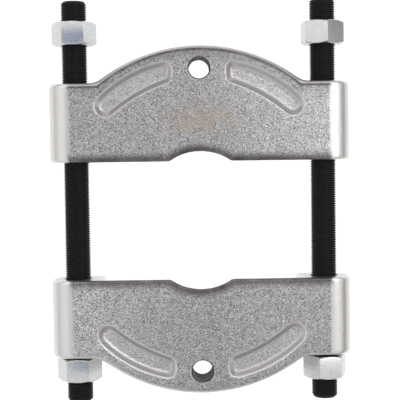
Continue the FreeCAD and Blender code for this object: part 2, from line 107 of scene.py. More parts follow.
class ThreadSizes(bpy.types.PropertyGroup):
    """The thread that the studs and nuts share."""

    pitch: bpy.props.FloatProperty(
        name="Pitch", description="Travel in one turn", default=25.4 / 18 * MM, unit="LENGTH")
    depth: bpy.props.FloatProperty(
        name="Depth", description="From crest to flank foot, as a share of the pitch",
        default=0.541)
    clearance: bpy.props.FloatProperty(
        name="Clearance", description="Gap between the stud's thread and the nut's",
        default=0.09 * MM, unit="LENGTH")
    sides: bpy.props.IntProperty(
        name="Sides", description="Steps round one turn of a stud", default=56)


class NutSizes(bpy.types.PropertyGroup):
    """The nuts' bevels."""

    flats: bpy.props.FloatProperty(
        name="Across flats", description="Distance between opposite flats", default=24.0 * MM,
        unit="LENGTH")
    bevel_radius: bpy.props.FloatProperty(
        name="Face radius", description="Radius of the flat ring on each end", default=11.5 * MM,
        unit="LENGTH")
    bevel_slope: bpy.props.FloatProperty(
        name="Bevel angle", description="Slope of the corner bevels", default=math.radians(30),
        subtype="ANGLE")
    edge: bpy.props.FloatProperty(
        name="Edge", description="How far each worn edge is rounded back", default=0.28 * MM,
        unit="LENGTH")


class ForgingSizes(bpy.types.PropertyGroup):
    """The half-plates' skin."""

    voxel: bpy.props.FloatProperty(
        name="Mesh step", description="Spacing of the half-plates' mesh", default=0.68 * MM,
        unit="LENGTH")
    softening: bpy.props.IntProperty(
        name="Softening", description="How many times the mesh is relaxed", default=3)
    end_band: bpy.props.FloatProperty(
        name="End band", description="Width of the smooth bands on the plates' two ends",
        default=13.2 * MM, unit="LENGTH")
    crown_radius: bpy.props.FloatProperty(
        name="Crown", description="Radius of the plates' curved outer edge",
        default=99.5 * MM, unit="LENGTH")
    notch_radius: bpy.props.FloatProperty(
        name="Notch", description="Radius of the notch in the mating edge",
        default=32.35 * MM, unit="LENGTH")
    notch_depth: bpy.props.FloatProperty(
        name="Notch depth", description="How far the notch goes in from the mating edge",
        default=6.05 * MM, unit="LENGTH")
    outer_line: bpy.props.FloatProperty(
        name="Outer dark line", description="How far the dark line lies in from the outer edge",
        default=2.7 * MM, unit="LENGTH")
    inner_line: bpy.props.FloatProperty(
        name="Inner dark line", description="How far the dark band starts from the mating edge",
        default=2.0 * MM, unit="LENGTH")
    sharpest: bpy.props.FloatProperty(
        name="Sharpest bend", description="Radius of a crease that shows fully dark",
        default=1.6 * MM, unit="LENGTH")
    band_width: bpy.props.FloatProperty(
        name="Band width", description="Width over which the inner dark band fades",
        default=4.2 * MM, unit="LENGTH")
    line_width: bpy.props.FloatProperty(
        name="Line width", description="Width over which the outer dark line fades",
        default=0.75 * MM, unit="LENGTH")
    bore_radius: bpy.props.FloatProperty(
        name="Stud bore", description="Radius of the plain holes for the studs",
        default=8.4 * MM, unit="LENGTH")
    skin_depth: bpy.props.FloatProperty(
        name="Skin depth", description="Depth of the pits and waves that forging leaves",
        default=0.10 * MM, unit="LENGTH")


class PullerHoleSizes(bpy.types.PropertyGroup):
    """The thread in the puller holes."""

    pitch: bpy.props.FloatProperty(
        name="Pitch", description="Travel in one turn", default=25.4 / 18 * MM, unit="LENGTH")
    depth: bpy.props.FloatProperty(
        name="Depth", description="From crest to root, as a share of the pitch", default=0.49)
    minor_radius: bpy.props.FloatProperty(
        name="Minor radius", description="Radius inside the crests", default=6.4 * MM,
        unit="LENGTH")
    rim_radius: bpy.props.FloatProperty(
        name="Rim radius", description="Radius of the hole's rim", default=6.95 * MM,
        unit="LENGTH")
    past: bpy.props.FloatProperty(
        name="Overrun", description="How far the tap runs past each face", default=1.5 * MM,
        unit="LENGTH")
    sides: bpy.props.IntProperty(
        name="Sides", description="Steps round one turn", default=56)


class Finishes(bpy.types.PropertyGroup):
    """The three finishes."""

    steel: bpy.props.FloatVectorProperty(
        name="Forged steel", description="Plated forging on its rounded edges", subtype="COLOR",
        size=3, default=(0.63, 0.62, 0.61))
    flats: bpy.props.FloatVectorProperty(
        name="Blasted flats", description="Plated forging where it was blasted", subtype="COLOR",
        size=3, default=(0.355, 0.347, 0.35))
    # Painted shade: this colour darkens the lines along the plates' edges and their creases.
    scale: bpy.props.FloatVectorProperty(
        name="Forge scale", description="Dark scale left along the edges of the flats",
        subtype="COLOR", size=3, default=(0.075, 0.067, 0.062))
    black: bpy.props.FloatVectorProperty(
        name="Black oxide", description="Blackened studs", subtype="COLOR", size=3,
        default=(0.0065, 0.0063, 0.0068))
    zinc: bpy.props.FloatVectorProperty(
        name="Zinc plate", description="Bright zinc on the nuts", subtype="COLOR", size=3,
        default=(0.57, 0.58, 0.585))


class StageSettings(bpy.types.PropertyGroup):
    """Floor, light and camera."""

    floor: bpy.props.FloatVectorProperty(
        name="Floor", description="Pale studio floor", subtype="COLOR", size=3,
        default=(0.92, 0.92, 0.92))
    far_floor: bpy.props.FloatVectorProperty(
        name="Far floor", description="Floor where the lit patch fades", subtype="COLOR", size=3,
        default=(0.36, 0.36, 0.36))
    lit_shift: bpy.props.FloatProperty(
        name="Lit patch", description="How far the lit patch lies to the left of the object",
        default=60 * MM, unit="LENGTH")
    glow: bpy.props.FloatProperty(
        name="Floor glow", description="How strongly the floor shines by itself", default=1.05)
    matt: bpy.props.FloatProperty(
        name="Floor share", description="Share of the room's light that the floor sends back",
        default=0.22)
    key: bpy.props.FloatProperty(
        name="Overhead lamp", description="Soft light above and to the right", default=1.6,
        unit="POWER")
    sky: bpy.props.FloatProperty(
        name="Surroundings", description="Brightness of the pale room", default=1.2)
    walls: bpy.props.FloatVectorProperty(
        name="Walls", description="Colour of the room's walls", subtype="COLOR", size=3,
        default=(1.0, 0.99, 0.97))
    overhead: bpy.props.FloatVectorProperty(
        name="Overhead", description="Colour straight above, where the room is dimmer",
        subtype="COLOR", size=3, default=(0.17, 0.23, 0.37))
    lens: bpy.props.FloatProperty(
        name="Lens", description="Focal length", default=93.6, unit="CAMERA")
    roll: bpy.props.FloatProperty(
        name="Roll", description="How far the camera leans to the right",
        default=math.radians(0.75), subtype="ANGLE")


# ---------------------------------------------------------------- shader maths


class Wire:
    """One output socket that takes part in Python arithmetic through Math nodes."""

    def __init__(self, sheet, socket):
        self.sheet = sheet
        self.socket = socket

    def _with(self, operation, first, second):
        return self.sheet.node("ShaderNodeMath", {"operation": operation}, {0: first, 1: second})

    def __add__(self, other):
        return self._with("ADD", self, other)

    def __sub__(self, other):
        return self._with("SUBTRACT", self, other)

    def __rsub__(self, other):
        return self._with("SUBTRACT", other, self)

    def __mul__(self, other):
        return self._with("MULTIPLY", self, other)

    __radd__ = __add__
    __rmul__ = __mul__


class Sheet:
    """The node sheet of a material or a world. Every node on it is made by the one method node."""

    def __init__(self, owner):
        self.owner = owner
        owner.use_nodes = True
        self.tree = owner.node_tree
        self.tree.nodes.clear()

    def node(self, kind, settings=None, inputs=None, output=0):
        """Make a node, set it up, feed its inputs and return one output as a Wire."""
        made = self.tree.nodes.new(kind)
        for key, choice in (settings or {}).items():
            if key == "stops":
                self._set_stops(made.color_ramp.elements, choice)
            else:
                setattr(made, key, choice)
        for key, fed in (inputs or {}).items():
            if isinstance(fed, Wire):
                self.tree.links.new(fed.socket, made.inputs[key])
            else:
                made.inputs[key].default_value = fed
        return Wire(self, made.outputs[output]) if len(made.outputs) else None

    @staticmethod
    def _set_stops(elements, stops):
        while len(elements) < len(stops):
            elements.new(1.0)
        for element, (place, grey) in zip(elements, stops):
            element.position = place
            element.color = (grey, grey, grey, 1.0)

    def place(self):
        """Object coordinates, which stay on the piece as it moves."""
        return self.node("ShaderNodeTexCoord", output="Object")

    def noise(self, scale, detail=2.0, roughness=0.5, seed=0.0):
        return self.node("ShaderNodeTexNoise", {"noise_dimensions": "4D"},
                         {"Vector": self.place(), "Scale": scale, "Detail": detail,
                          "Roughness": roughness, "W": seed})

    def cells(self, scale):
        """Small cells, each with one random number from 0 to 1."""
        mosaic = self.node("ShaderNodeTexVoronoi", {}, {"Vector": self.place(), "Scale": scale},
                           output="Color")
        return self.node("ShaderNodeSeparateColor", inputs={"Color": mosaic}, output="Red")

    def vector(self, operation, first, second=None):
        """A vector operation; LENGTH and DOT_PRODUCT give a number, the others a vector."""
        fed = {0: first} if second is None else {0: first, 1: second}
        output = "Value" if operation in ("LENGTH", "DOT_PRODUCT") else "Vector"
        return self.node("ShaderNodeVectorMath", {"operation": operation}, fed, output)

    def bump(self, strength, distance, height):
        return self.node("ShaderNodeBump", {}, {"Strength": strength, "Distance": distance,
                                                "Height": height})

    def ramp(self, wire, *stops):
        return self.node("ShaderNodeValToRGB", {"stops": stops}, {"Fac": wire})

    def blend(self, share, first, second, kind="MIX"):
        """Mix two colours by a share from 0 to 1."""
        settings = {"data_type": "RGBA", "blend_type": kind, "clamp_factor": True}
        return self.node("ShaderNodeMix", settings, {0: share, 6: first, 7: second}, output=2)

    def attribute(self, name):
        """A number that the mesh carries at each corner."""
        return self.node("ShaderNodeAttribute", {"attribute_name": name}, output="Fac")

    def finish(self, **inputs):
        """Close the sheet with a Principled shader."""
        shader = self.node("ShaderNodeBsdfPrincipled",
                           inputs={key.replace("_", " "): fed for key, fed in inputs.items()})
        self.node("ShaderNodeOutputMaterial", inputs={"Surface": shader})
        return self.owner


def solid(colour):
    return (*colour, 1.0)


def shade(colour, times):
    """A colour made lighter or darker, with full alpha."""
    return solid(part * times for part in colour)


# ---------------------------------------------------------------- finishes


def forged_finish(settings, name, lighter_end, blotched):
    """Blasted, plated forging: coarse sparkling grain on the flats, calmer on the rounded edges.

    The flats are a little lighter towards one end, which stands in for uneven light. lighter_end
    is 1 for +X and -1 for -X.
    """
    sheet = Sheet(bpy.data.materials.new(name))
    flat, rim = sheet.attribute("flatness"), sheet.attribute("rim")
    bend = sheet.attribute("bend")
    steel, base, scale = settings.steel, settings.flats, solid(settings.scale)
    grain = sheet.noise(1300.0, detail=3.0, roughness=0.7, seed=1.0)
    cloud = sheet.noise(110.0, detail=3.0, roughness=0.6, seed=3.0)
    patch = sheet.noise(24.0, detail=2.0, roughness=0.5, seed=4.0)
    tone = (sheet.cells(1900.0) * 0.45 + sheet.cells(3100.0) * 0.35
            + sheet.ramp(grain, (0.36, 0.0), (0.64, 1.0)) * 0.20)

    across = sheet.node("ShaderNodeSeparateXYZ", inputs={"Vector": sheet.place()}, output="X")
    along = across * (lighter_end / LIT_SPAN) + 0.5
    lit = sheet.ramp(along, (0.1, 0.35), (0.5, 0.0), (0.9, 1.0))
    level = sheet.blend(lit, shade(base, 0.92), shade(base, 1.22))
    sparkle = sheet.blend(sheet.ramp(tone, (0.18, 0.0), (0.82, 1.0)), solid((0.18,) * 3),
                          solid((1.82,) * 3))
    flats = sheet.blend(1.0, level, sparkle, kind="MULTIPLY")

    rounds = sheet.blend(tone, shade(steel, 0.94), shade(steel, 1.04))
    # Painted light: the recess walls take a lighter copy of the blasted flats' colour.
    smooth = sheet.blend(sheet.attribute("wall"), rounds, shade(base, 1.55))
    mottled = sheet.blend(flat, smooth, flats)
    uneven = sheet.ramp(cloud * 0.6 + patch * 0.4, (0.36, 0.0), (0.64, 1.0))
    clouded = sheet.blend(uneven * flat * 0.35, mottled, shade(base, 0.80))
    # Painted highlight: sharp convex edges get a lighter copy of the steel colour.
    worn = sheet.blend(sheet.ramp(bend, (0.10, 1.0), (0.42, 0.0)), clouded, shade(steel, 1.25))
    # Painted shade: concave creases are darkened towards the scale colour.
    creased = sheet.blend(sheet.ramp(bend, (0.60, 0.0), (0.95, 0.55)), worn, scale)
    # Painted shade: dark lines along the outer and mating edges, in the scale colour.
    colour = sheet.blend(rim * (0.70 + uneven * 0.30), creased, scale)
    if blotched:
        colour = brown_blotch(sheet, colour)

    hollow = sheet.attribute("hollow")
    # Painted shade: the drilled and tapped holes are painted almost black and not metallic.
    colour = sheet.blend(hollow, colour, shade(steel, 0.04))
    rough = 0.28 + flat * 0.10 + grain * 0.10
    height = (tone * 0.7 + cloud * 0.3) * (0.08 + flat * 0.92)
    return sheet.finish(Base_Color=colour, Metallic=1.0 - hollow, Roughness=rough,
                        Normal=sheet.bump(0.7, 0.16 * MM, height))


def brown_blotch(sheet, colour):
    """Faint, blotchy brown darkening in an oval in the middle of the rear half."""
    low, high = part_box("rear_half")
    middle = Vector(((low.x + high.x) / 2, low.y + (high.y - low.y) * BLOTCH_PLACE, high.z))
    shifted = sheet.vector("SUBTRACT", sheet.place(), middle)
    away = sheet.vector("LENGTH", sheet.vector("MULTIPLY", shifted,
                                               [1 / reach for reach in BLOTCH_REACH]))
    inside = sheet.ramp(away, (0.25, 1.0), (1.0, 0.0))
    blots = sheet.ramp(sheet.noise(190.0, detail=4.0, seed=7.0), (0.38, 0.0), (0.58, 1.0))
    return sheet.blend(inside * blots * BLOTCH_STRENGTH, colour, solid(BLOTCH_COLOUR))


def black_finish(settings):
    """Black oxide over steel: a dark, slightly blue skin that is duller in the thread's roots."""
    sheet = Sheet(bpy.data.materials.new("black_oxide"))
    smear = sheet.noise(90.0, detail=3.0, roughness=0.6, seed=11.0)
    dust = sheet.noise(1800.0, detail=2.0, seed=12.0)
    crest = sheet.attribute("crest")
    colour = sheet.blend(crest * 0.5 + smear * 0.2, solid(settings.black),
                         shade(settings.black, 2.6))
    rough = 0.46 + smear * 0.14 - crest * 0.08
    return sheet.finish(Base_Color=colour, Metallic=0.2, Specular_IOR_Level=0.25, Roughness=rough,
                        Normal=sheet.bump(0.25, 0.03 * MM, dust))


def zinc_finish(settings):
    """Bright zinc plate: bluish, with fine mottling on the flats."""
    sheet = Sheet(bpy.data.materials.new("zinc_plate"))
    mottle = sheet.noise(1100.0, detail=3.0, roughness=0.7, seed=21.0)
    cloud = sheet.noise(420.0, detail=3.0, seed=22.0)
    tone = sheet.ramp(mottle * 0.6 + cloud * 0.4, (0.36, 0.0), (0.64, 1.0))
    colour = sheet.blend(tone, shade(settings.zinc, 0.88), shade(settings.zinc, 1.10))
    hollow = sheet.attribute("hollow")
    # Painted shade: the inside of the nut's bore is darkened.
    colour = sheet.blend(hollow * 0.8, colour, shade(settings.zinc, 0.22))
    rough = 0.20 + mottle * 0.12
    height = mottle * 0.7 + cloud * 0.3
    return sheet.finish(Base_Color=colour, Metallic=1.0, Roughness=rough,
                        Normal=sheet.bump(0.55, 0.11 * MM, height))


# ---------------------------------------------------------------- surfaces


def mesh_from(name, points, quads):
    """Put arrays of points and four-cornered faces into a new mesh."""
    mesh = bpy.data.meshes.new(name)
    mesh.from_pydata([], [], [])
    count = len(quads)
    mesh.vertices.add(len(points))
    mesh.vertices.foreach_set("co", np.ascontiguousarray(points, np.float32).ravel())
    mesh.loops.add(count * 4)
    mesh.loops.foreach_set("vertex_index", quads.astype(np.int32).ravel())
    mesh.polygons.add(count)
    mesh.polygons.foreach_set("loop_start", np.arange(0, count * 4, 4, dtype=np.int32))
    mesh.update(calc_edges=True)
    return mesh


def weld(mesh, gap=2e-7):
    """Merge points that coincide, close open rings with flat caps and turn all faces outwards."""
    work = bmesh.new()
    work.from_mesh(mesh)
    bmesh.ops.remove_doubles(work, verts=work.verts, dist=gap)
    bmesh.ops.dissolve_degenerate(work, edges=work.edges, dist=gap)
    rims = [edge for edge in work.edges if edge.is_boundary]
    if rims:
        bmesh.ops.holes_fill(work, edges=rims, sides=0)
    bmesh.ops.recalc_face_normals(work, faces=work.faces)
    work.to_mesh(mesh)
    work.free()
    mesh.update()
    return mesh


def grid_quads(rows, columns, shift=0, first=0):
    """Faces of a grid that closes on itself round its columns.

    Going past the last column comes back to the first one, shift rows further on.
    """
    row, column = np.meshgrid(np.arange(rows - 1), np.arange(columns), indexing="ij")
    past = column == columns - 1
    next_column = np.where(past, 0, column + 1)
    next_row = np.where(past, row + shift, row)
    keep = next_row + 1 < rows
    corners = [row * columns + column, next_row * columns + next_column,
               (next_row + 1) * columns + next_column, (row + 1) * columns + column]
    return np.stack([corner[keep] for corner in corners], axis=-1) + first


THREAD_PHASES = np.array([-1 / 16, 1 / 16, 3 / 8, 1 / 2, 5 / 8])
THREAD_DEPTHS = np.array([0.0, 0.0, 1.0, 1.06, 1.0])


def helix_rows(low, high, pitch):
    """Rows of a thread, in turns along the axis, and how deep each lies.

    The depth is 0 at a crest, 1 at the foot of a flank and slightly more at the root.
    """
    turns = np.arange(math.floor(low / pitch) - 3, math.ceil(high / pitch) + 3)
    rows = (turns[:, None] + THREAD_PHASES[None, :]).ravel()
    depths = np.tile(THREAD_DEPTHS, len(turns))
    return rows, depths


def helix_surface(low, high, angles, pitch, radius_at):
    """A thread as a grid: along = pitch * (row + angle / full turn), cut off square at both ends.

    radius_at takes (depth share, distance in from the nearer end) and gives the radius.
    Returns radius, angle, along and depth share, each with one row a thread row and one column
    an angle.
    """
    rows, depths = helix_rows(low, high, pitch)
    along = pitch * (rows[:, None] + angles[None, :] / math.tau)
    along = np.clip(along, low, high)
    inside = np.minimum(along - low, high - along)
    depth = np.broadcast_to(depths[:, None], along.shape)
    radius = radius_at(depth, inside)
    return radius, np.broadcast_to(angles[None, :], along.shape), along, depth


def about_y(radius, angle, along, centre_x, centre_z):
    """Points round an axis parallel to Y; the angle goes from +Z towards +X, right-handed."""
    points = (centre_x + radius * np.sin(angle), along, centre_z + radius * np.cos(angle))
    return np.stack([part.ravel() for part in points], axis=-1)


def about_z(radius, angle, along, centre_x, centre_y):
    """Points round an axis parallel to Z; the angle goes from +X towards +Y, right-handed."""
    points = (centre_x + radius * np.cos(angle), centre_y + radius * np.sin(angle), along)
    return np.stack([part.ravel() for part in points], axis=-1)


def store(mesh, name, values):
    """Keep one number a point on the mesh, for its material."""
    attribute = mesh.attributes.new(name, "FLOAT", "POINT")
    attribute.data.foreach_set("value", np.ascontiguousarray(values, np.float32))


def points_of(mesh):
    flat = np.empty(len(mesh.vertices) * 3, np.float32)
    mesh.vertices.foreach_get("co", flat)
    return flat.reshape(-1, 3).astype(float)


def normals_of(mesh):
    flat = np.empty(len(mesh.vertices) * 3, np.float32)
    mesh.vertices.foreach_get("normal", flat)
    return flat.reshape(-1, 3).astype(float)


def add_piece(mesh, name, node, finish, smooth_angle=None):
    """Show a mesh in place of a CAD node, riding on that node's body."""
    piece = bpy.data.objects.new(name, mesh)
    bpy.context.scene.collection.objects.link(piece)
    mesh.materials.clear()
    mesh.materials.append(finish)
    mesh.shade_smooth()
    if smooth_angle:
        mesh.set_sharp_from_angle(angle=smooth_angle)
    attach(piece, node)
    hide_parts(node)
    return piece


def value_noise(points, wavelength, seed):
    """Smooth noise from -1 to 1: a seeded lattice of numbers, blended with a cubic ease."""
    lattice = np.random.default_rng(seed).uniform(-1.0, 1.0, (32, 32, 32))
    scaled = points / wavelength
    cell = np.floor(scaled).astype(int)
    share = scaled - cell
    share = share * share * (3.0 - 2.0 * share)
    total = np.zeros(len(points))
    for corner in np.ndindex(2, 2, 2):
        index = (cell + corner) % 32
        weight = np.prod(np.where(np.array(corner) == 1, share, 1.0 - share), axis=1)
        total += weight * lattice[index[:, 0], index[:, 1], index[:, 2]]
    return total


# ---------------------------------------------------------------- the studs


def stud_mesh(node, thread):
    """A threaded bar: helix rows with 60 degree flanks, cut back by a cone at each end."""
    low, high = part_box(node)
    outer = (high.x - low.x) / 2
    centre_x, centre_z = (low.x + high.x) / 2, (low.z + high.z) / 2
    deep = thread.depth * thread.pitch
    angles = np.arange(thread.sides) * math.tau / thread.sides

    def radius_at(depth, inside):
        return np.minimum(outer - deep * depth, outer - STUD_CHAMFER + inside)

    radius, angle, along, depth = helix_surface(low.y, high.y, angles, thread.pitch, radius_at)
    points = about_y(radius, angle, along, centre_x, centre_z)
    quads = grid_quads(*radius.shape, shift=len(THREAD_PHASES))
    mesh = weld(mesh_from(node + "_thread", points, quads))
    placed = points_of(mesh)
    reach = np.hypot(placed[:, 0] - centre_x, placed[:, 2] - centre_z)
    store(mesh, "crest", np.clip((reach - (outer - deep)) / deep, 0.0, 1.0))
    return mesh


# ---------------------------------------------------------------- the nuts


def hexagon(flats, edge):
    """Outline of a hexagon with rounded corners, as angles and distances from its middle.

    Each side is a straight run; each corner is an arc of radius edge, tangent to both its sides.
    """
    apothem = flats / 2
    run = (apothem - edge) * math.tan(math.radians(30))
    across = run * np.array([-1.0, -0.8, -0.5, -0.2, 0.2, 0.5, 0.8, 1.0])
    side = np.stack([across, np.full_like(across, apothem)], axis=-1)
    lean = np.radians([-20.0, 0.0, 20.0])
    corner_far = (apothem - edge) / math.cos(math.radians(30))
    corner = corner_far * np.array([math.sin(math.radians(30)), math.cos(math.radians(30))])
    turn = math.radians(30) + lean
    arc = corner + edge * np.stack([np.sin(turn), np.cos(turn)], axis=-1)
    sector = np.concatenate([side, arc])
    angle = np.arctan2(sector[:, 0], sector[:, 1])
    reach = np.hypot(sector[:, 0], sector[:, 1])
    angles = np.concatenate([angle + math.radians(60) * step for step in range(6)])
    return angles, np.tile(reach, 6)


def soften_profile(profile, back, steps=3):
    """Round each inner corner of a profile with a quadratic curve.

    profile has one row a point and one column an angle, each (radius, along). The curve starts
    and ends at most back away from the corner, and never past the middle of either side.
    """
    rows = [profile[:1]]
    for before, corner, after in zip(profile[:-2], profile[1:-1], profile[2:]):
        ways = []
        for other in (before, after):
            gap = np.linalg.norm(other - corner, axis=-1, keepdims=True)
            share = np.minimum(back, gap * 0.45) / np.maximum(gap, 1e-9)
            ways.append(corner + (other - corner) * share)
        for step in np.linspace(0.0, 1.0, steps):
            rows.append(((1 - step) ** 2 * ways[0] + 2 * step * (1 - step) * corner
                         + step ** 2 * ways[1])[None])
    rows.append(profile[-1:])
    return np.concatenate(rows)


def nut_mesh(node, turn, thread, sizes):
    """A hexagon nut: outer faces swept round, and a thread that matches the stud's inside."""
    low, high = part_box(node)
    stud_low, stud_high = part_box("left_stud" if "left" in node else "right_stud")
    centre_x, centre_z = (stud_low.x + stud_high.x) / 2, (stud_low.z + stud_high.z) / 2
    stud_radius = (stud_high.x - stud_low.x) / 2
    deep = thread.depth * thread.pitch
    middle, half = (low.y + high.y) / 2, (high.y - low.y) / 2
    angles, reach = hexagon(sizes.flats, sizes.edge)
    angles = angles + turn
    mouth = stud_radius + NUT_MOUTH
    drop = np.maximum(reach - sizes.bevel_radius, 0.0) * math.tan(sizes.bevel_slope)

    def ring(radius, along):
        return np.stack(np.broadcast_arrays(radius + 0 * angles, along + 0 * angles), axis=-1)

    profile = np.stack([
        ring(mouth, half), ring(sizes.bevel_radius, half), ring(reach, half - drop),
        ring(reach, drop - half), ring(sizes.bevel_radius, -half), ring(mouth, -half)])
    profile = soften_profile(profile, sizes.edge)
    rows = len(profile)
    outside = about_y(profile[..., 0], np.broadcast_to(angles, (rows, len(angles))),
                      profile[..., 1] + middle, centre_x, centre_z)
    outside_quads = grid_quads(rows, len(angles))

    def radius_at(depth, inside):
        mated = stud_radius + thread.clearance - deep * depth
        crest = stud_radius - deep * NUT_CREST + thread.clearance
        return np.maximum(np.maximum(mated, crest), mouth - inside)

    radius, angle, along, _ = helix_surface(low.y, high.y, angles, thread.pitch, radius_at)
    inner = about_y(radius, angle, along, centre_x, centre_z)
    inner_quads = grid_quads(*radius.shape, shift=len(THREAD_PHASES), first=len(outside))
    mesh = mesh_from(node + "_hexagon", np.concatenate([outside, inner]),
                     np.concatenate([outside_quads, inner_quads]))
    weld(mesh, gap=2e-6)
    placed = points_of(mesh)
    reach_in = np.hypot(placed[:, 0] - centre_x, placed[:, 2] - centre_z)
    store(mesh, "hollow", np.clip((mouth - reach_in) / (0.5 * MM), 0.0, 1.0))
    return mesh


# ---------------------------------------------------------------- the half-plates


def bar_along(axis, centre, low, high, profile, sides=64):
    """A turned bar. profile lists (radius, distance in from each end), outermost first."""
    angles = np.arange(sides) * math.tau / sides
    radii = [radius for radius, _ in profile] + [radius for radius, _ in reversed(profile)]
    places = [low + inside for _, inside in profile]
    places += [high - inside for _, inside in reversed(profile)]
    radius = np.repeat(np.array(radii)[:, None], sides, axis=1)
    along = np.repeat(np.array(places)[:, None], sides, axis=1)
    angle = np.repeat(angles[None, :], len(radii), axis=0)
    around = about_y if axis == "y" else about_z
    return around(radius, angle, along, *centre), grid_quads(*radius.shape)


def tap_along_z(centre, low, high, hole):
    """A cutter for a tapped hole: a coarse thread between the plate's faces, flared past them."""
    angles = np.arange(hole.sides) * math.tau / hole.sides
    deep = hole.depth * hole.pitch

    def radius_at(depth, inside):
        return np.maximum(hole.minor_radius + deep * (1 - np.minimum(depth, 1.0)),
                          hole.rim_radius + hole.past - inside)

    radius, angle, along, _ = helix_surface(low - hole.past, high + hole.past, angles, hole.pitch,
                                            radius_at)
    return about_z(radius, angle, along, *centre), grid_quads(*radius.shape, len(THREAD_PHASES))


def joined(parts):
    """Join (points, faces) pairs into one pair."""
    offset, all_points, all_quads = 0, [], []
    for points, quads in parts:
        all_points.append(points)
        all_quads.append(quads + offset)
        offset += len(points)
    return np.concatenate(all_points), np.concatenate(all_quads)


def applied(piece, kind, **settings):
    """The piece's mesh after one modifier."""
    modifier = piece.modifiers.new(kind.lower(), kind)
    for key, choice in settings.items():
        setattr(modifier, key, choice)
    graph = bpy.context.evaluated_depsgraph_get()
    mesh = bpy.data.meshes.new_from_object(piece.evaluated_get(graph))
    piece.modifiers.remove(modifier)
    return mesh


def temporary(mesh):
    piece = bpy.data.objects.new("temporary", mesh)
    bpy.context.scene.collection.objects.link(piece)
    return piece


def relax(mesh, times, share=0.5):
    """Move every point part of the way to the middle of its neighbours, several times over."""
    ends = np.empty(len(mesh.edges) * 2, np.int32)
    mesh.edges.foreach_get("vertices", ends)
    first, second = ends.reshape(-1, 2).T
    points = points_of(mesh)
    count = np.bincount(ends, minlength=len(points))[:, None]
    for _ in range(times):
        total = np.stack([np.bincount(first, points[second, k], len(points))
                          + np.bincount(second, points[first, k], len(points))
                          for k in range(3)], axis=-1)
        points += share * (total / count - points)
    mesh.vertices.foreach_set("co", points.astype(np.float32).ravel())
    mesh.update()


def bends(mesh, sharpest, passes=2):
    """How the skin bends at each point: 0 on a sharp edge, 0.5 where it is flat, 1 in a crease.

    The bend is the normal part of the step to the neighbours' middle, over the square of the
    neighbours' distance, then averaged with the neighbours a few times.
    """
    ends = np.empty(len(mesh.edges) * 2, np.int32)
    mesh.edges.foreach_get("vertices", ends)
    first, second = ends.reshape(-1, 2).T
    points, normals = points_of(mesh), normals_of(mesh)
    step = points[second] - points[first]
    reach = np.maximum((step ** 2).sum(axis=1), 1e-12)
    count = np.maximum(np.bincount(ends, minlength=len(points)), 1)
    outward = (np.bincount(first, (step * normals[first]).sum(axis=1) / reach, len(points))
               - np.bincount(second, (step * normals[second]).sum(axis=1) / reach, len(points)))
    bend = np.clip(outward / count * sharpest, -1.0, 1.0)
    for _ in range(passes):
        total = (np.bincount(first, bend[second], len(points))
                 + np.bincount(second, bend[first], len(points)))
        bend = (bend + total / count) / 2
    return np.clip(0.5 + bend, 0.0, 1.0)


def ear_faces(node):
    """The two Y faces of a half-plate's ears, from the points near its ends."""
    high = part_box(node)[1]
    points = points_of(frame["nodes"][node].data)
    at_ends = points[np.abs(points[:, 0]) > high.x - 4 * MM]
    return at_ends[:, 1].min(), at_ends[:, 1].max()


def insets(points, node, sizes):
    """How far each point lies in from the outer outline, and in from the mating outline.

    The outer outline is the crown's circle and the ears' line, and the mating outline is the mating
    line and the notch's circle.
    """
    low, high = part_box(node)
    facing = 1.0 if node == "rear_half" else -1.0
    mating_y = low.y if facing > 0 else high.y
    ear_y = ear_faces(node)[1 if facing > 0 else 0]
    along = (points[:, 1] - mating_y) * facing
    depth, ear_depth = high.y - low.y, (ear_y - mating_y) * facing
    from_crown = sizes.crown_radius - np.hypot(points[:, 0], along - depth + sizes.crown_radius)
    from_ear = np.maximum(ear_depth - along, from_crown)
    notch_middle = sizes.notch_depth - sizes.notch_radius
    from_notch = np.hypot(points[:, 0], along - notch_middle) - sizes.notch_radius
    outer = np.where(along > ear_depth, from_crown, np.maximum(from_ear, 0.0))
    return outer, np.minimum(along, from_notch)


def rim_share(outer, inner, node, sizes):
    """How much of a painted dark edge line (painted shade) a point carries: 1 where the flat meets
    the edge's rounding.
    """
    outer_line = np.clip(LINE_SPREAD - np.abs(outer - sizes.outer_line) / sizes.line_width, 0.0, 1.0)
    outer_band = 1.0 - np.clip((outer - sizes.outer_line) / (2 * sizes.band_width), 0.0, 1.0)
    outer_band = np.where(outer > sizes.outer_line, outer_band * OUTER_BAND, 0.0)
    outer_line = np.maximum(outer_line, outer_band) * OUTER_LINES[node]
    inner_band = 1.0 - np.clip((inner - sizes.inner_line) / sizes.band_width, 0.0, 1.0)
    return np.maximum(outer_line, inner_band)


